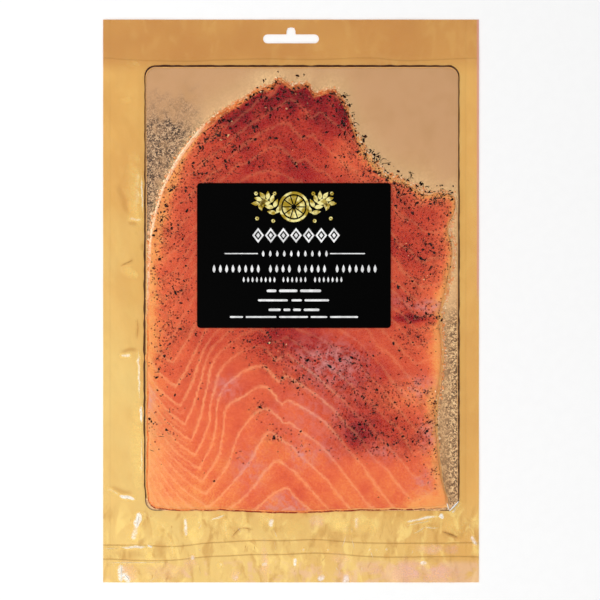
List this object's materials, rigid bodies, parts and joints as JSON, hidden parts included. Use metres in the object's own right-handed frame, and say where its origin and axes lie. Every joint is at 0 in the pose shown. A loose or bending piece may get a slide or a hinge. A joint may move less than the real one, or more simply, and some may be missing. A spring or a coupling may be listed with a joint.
{
  "type": "vacuum pack of smoked salmon slices",
  "caption": "Seasoned smoked salmon slices stacked on a gold card board, sealed in a flat gold-backed pouch with a clear window, a hang slot and a black label.",
  "frame": {"origin": "on the surface the pack lies on, at the centre of the pouch's outline", "axes": "+X across the pouch, +Y up the pouch to its hang slot, +Z out of the clear window, away from the surface it lies on"},
  "size_m": [0.215, 0.322, 0.0087],
  "materials": {
    "gold_foil_back": "satin metallic gold laminate",
    "gold_card": "matte gold laminated card",
    "salmon_rim": "moist orange flesh",
    "salmon_flesh": "moist red-orange flesh with pale fat lines and dark seasoning",
    "clear_film": "clear gloss",
    "black_label": null
  },
  "bodies": {
    "root": {"gold_back_sheet": "gold_foil_back", "gold_board": "gold_card", "salmon_slice_bottom": "salmon_rim", "salmon_slice_middle": "salmon_rim", "salmon_slice_top": "salmon_flesh", "clear_film": "clear_film", "label": "black_label"}
  },
  "joints": []
}
